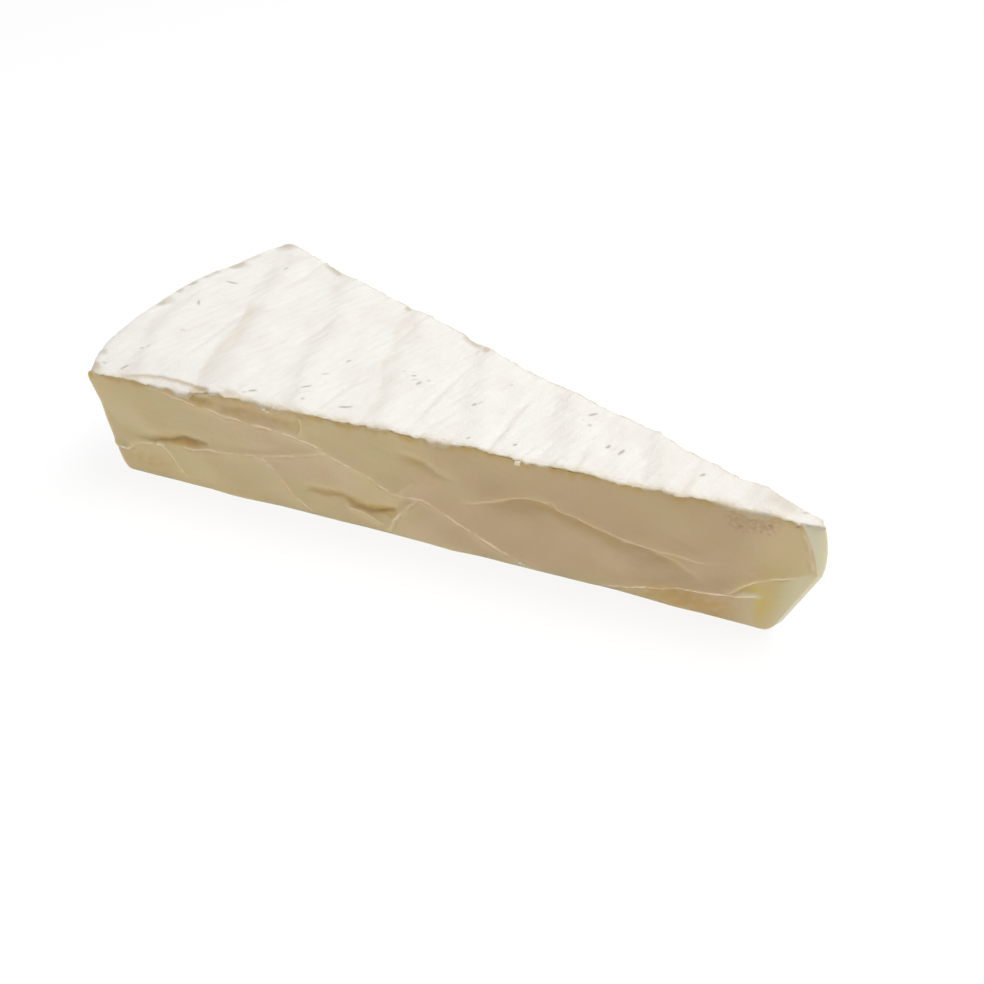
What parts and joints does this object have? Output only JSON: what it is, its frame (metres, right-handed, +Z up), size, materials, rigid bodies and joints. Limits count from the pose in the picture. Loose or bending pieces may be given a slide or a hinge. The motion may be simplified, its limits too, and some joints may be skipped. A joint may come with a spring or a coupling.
{
  "type": "double cream brie wedge",
  "caption": "Long narrow wedge of soft double cream cheese cut from a large flat wheel, with a bloomy white rind and creased cream-coloured cut sides.",
  "frame": {"origin": "middle of the bounding box on the flat underside that the wedge lies on", "axes": "+X from the rim to the nose along the wedge, +Z up out of the top rind, -Y out of the creased cut that the picture shows"},
  "size_m": [0.1792, 0.075, 0.0343],
  "materials": {
    "paste": "soft ripened cheese paste, warm cream, satin and slightly translucent, with smeared creases",
    "rind": "white mould rind, dry and velvety, with soft ridges and fine nicks"
  },
  "bodies": {
    "root": {"brie_wedge": "paste"}
  },
  "joints": []
}
